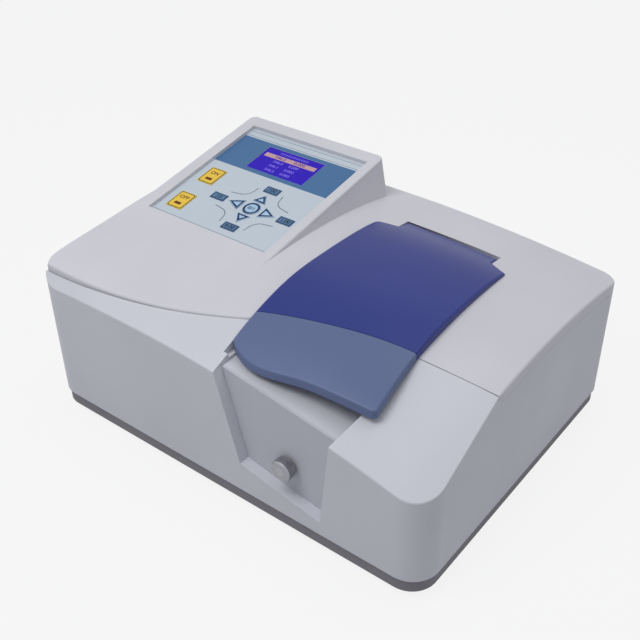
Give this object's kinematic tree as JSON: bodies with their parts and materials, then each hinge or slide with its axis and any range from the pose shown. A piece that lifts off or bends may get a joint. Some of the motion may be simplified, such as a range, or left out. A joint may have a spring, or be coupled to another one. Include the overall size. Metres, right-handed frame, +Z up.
{
  "type": "uv-vis spectrophotometer",
  "caption": "Bench spectrophotometer with a raised keypad console, an arched lid over the sample compartment and a pull rod that slides the cuvette carriage.",
  "frame": {"origin": "on the bench, under the centre of the bounding box", "axes": "+Z up, +X to the right seen from the front, +Y from the front to the back"},
  "size_m": [0.476, 0.364, 0.2248],
  "materials": {
    "dark_plastic": "fine texture",
    "grey_plastic": "fine texture",
    "pale_plastic": "fine texture",
    "blue_dark": "satin",
    "blue_light": "satin",
    "rubber": "matt",
    "steel": "brushed",
    "aluminium": "cast",
    "brass": "turned",
    "glass": "polished",
    "mirror": "polished",
    "overlay": "printed",
    "display": "glossy",
    "key_yellow": "satin",
    "key_blue": "satin",
    "circuit": "lacquered",
    "switch": "glossy"
  },
  "bodies": {
    "case": {"arc_lamp": "glass", "base_tray": "dark_plastic", "bench_pillars": "steel", "carriage_rails": "steel", "compartment_tub": "dark_plastic", "data_socket": "dark_plastic", "detector_unit": "aluminium", "display_module": "display", "drive_motor": "aluminium", "fan_frame": "dark_plastic", "fan_guard": "steel", "filter_motor": "aluminium", "foot_screws": "steel", "front_panel": "dark_plastic", "halogen_lamp": "glass", "hinge_brackets": "steel", "hinge_rod": "steel", "housing_shell": "grey_plastic", "keypad_board": "circuit", "keypad_overlay": "overlay", "lamp_house": "aluminium", "light_seal": "rubber", "main_board": "circuit", "mirrors": "mirror", "monochromator_box": "aluminium", "optical_bench": "aluminium", "power_inlet": "dark_plastic", "power_supply": "aluminium", "rear_screws": "steel", "rod_bush": "brass", "rubber_feet": "rubber", "top_cover": "pale_plastic", "turntable_pins": "steel"},
    "lid": {"lid_rear": "blue_dark", "lid_front": "blue_light", "lid_liner": "dark_plastic"},
    "carriage": {"cell_carriage": "aluminium", "cuvette_1": "glass", "cuvette_2": "glass", "cuvette_3": "glass", "cuvette_4": "glass", "pull_rod": "steel", "pull_knob": "aluminium"},
    "source_mirror": {"source_mirror": "aluminium"},
    "filter_wheel": {"filter_wheel": "aluminium"},
    "grating": {"grating_mount": "aluminium"},
    "drive_pinion": {"drive_pinion": "steel"},
    "fan_rotor": {"fan_rotor": "dark_plastic"},
    "switch_rocker": {"switch_rocker": "switch"},
    "key_start": {"key_start": "key_yellow"},
    "key_stop": {"key_stop": "key_yellow"},
    "key_far": {"key_far": "key_blue"},
    "key_near": {"key_near": "key_blue"},
    "key_left": {"key_left": "key_blue"},
    "key_right": {"key_right": "key_blue"},
    "arrow_far": {"arrow_far": "key_blue"},
    "arrow_near": {"arrow_near": "key_blue"},
    "arrow_left": {"arrow_left": "key_blue"},
    "arrow_right": {"arrow_right": "key_blue"},
    "key_round": {"key_round": "key_blue"}
  },
  "joints": [
    {"name": "lid_hinge", "type": "hinge", "parent": "case", "child": "lid", "pos_m": [0.085, 0.095, 0.1755], "axis": [-1, 0, 0], "range_deg": [0, 70]},
    {"name": "carriage_slide", "type": "slide", "parent": "case", "child": "carriage", "axis": [0, -1, 0], "range_m": [0, 0.06]},
    {"name": "source_mirror_turn", "type": "hinge", "parent": "case", "child": "source_mirror", "pos_m": [-0.189, -0.02, 0.047], "axis": [0, 0, 1], "range_deg": [0, 60]},
    {"name": "filter_wheel_spin", "type": "hinge", "parent": "case", "child": "filter_wheel", "pos_m": [-0.152, -0.001, 0.082], "axis": [1, 0, 0], "continuous": true},
    {"name": "grating_turn", "type": "hinge", "parent": "case", "child": "grating", "pos_m": [-0.057, 0.01, 0.048], "axis": [0, 0, 1], "range_deg": [-25, 25]},
    {"name": "pinion_spin", "type": "hinge", "parent": "case", "child": "drive_pinion", "pos_m": [-0.057, -0.026, 0.048], "axis": [0, 0, 1], "range_deg": [-126, 126]},
    {"name": "fan_spin", "type": "hinge", "parent": "case", "child": "fan_rotor", "pos_m": [-0.178, 0.165, 0.092], "axis": [0, 1, 0], "continuous": true},
    {"name": "switch_rock", "type": "hinge", "parent": "case", "child": "switch_rocker", "pos_m": [0.1805, 0.177, 0.092], "axis": [-1, 0, 0], "range_deg": [0, 10]},
    {"name": "key_start_press", "type": "slide", "parent": "case", "child": "key_start", "axis": [0, 0.1719, -0.9851], "range_m": [0, 0.0005], "stiffness_N_per_m": 900},
    {"name": "key_stop_press", "type": "slide", "parent": "case", "child": "key_stop", "axis": [0, 0.1719, -0.9851], "range_m": [0, 0.0005], "stiffness_N_per_m": 900},
    {"name": "key_far_press", "type": "slide", "parent": "case", "child": "key_far", "axis": [0, 0.1719, -0.9851], "range_m": [0, 0.0005], "stiffness_N_per_m": 900},
    {"name": "key_near_press", "type": "slide", "parent": "case", "child": "key_near", "axis": [0, 0.1719, -0.9851], "range_m": [0, 0.0005], "stiffness_N_per_m": 900},
    {"name": "key_left_press", "type": "slide", "parent": "case", "child": "key_left", "axis": [0, 0.1719, -0.9851], "range_m": [0, 0.0005], "stiffness_N_per_m": 900},
    {"name": "key_right_press", "type": "slide", "parent": "case", "child": "key_right", "axis": [0, 0.1719, -0.9851], "range_m": [0, 0.0005], "stiffness_N_per_m": 900},
    {"name": "arrow_far_press", "type": "slide", "parent": "case", "child": "arrow_far", "axis": [0, 0.1719, -0.9851], "range_m": [0, 0.0005], "stiffness_N_per_m": 900},
    {"name": "arrow_near_press", "type": "slide", "parent": "case", "child": "arrow_near", "axis": [0, 0.1719, -0.9851], "range_m": [0, 0.0005], "stiffness_N_per_m": 900},
    {"name": "arrow_left_press", "type": "slide", "parent": "case", "child": "arrow_left", "axis": [0, 0.1719, -0.9851], "range_m": [0, 0.0005], "stiffness_N_per_m": 900},
    {"name": "arrow_right_press", "type": "slide", "parent": "case", "child": "arrow_right", "axis": [0, 0.1719, -0.9851], "range_m": [0, 0.0005], "stiffness_N_per_m": 900},
    {"name": "key_round_press", "type": "slide", "parent": "case", "child": "key_round", "axis": [0, 0.1719, -0.9851], "range_m": [0, 0.0005], "stiffness_N_per_m": 900}
  ],
  "couplings": [
    {"joint": "pinion_spin", "follows": "grating_turn", "ratio": -5}
  ]
}
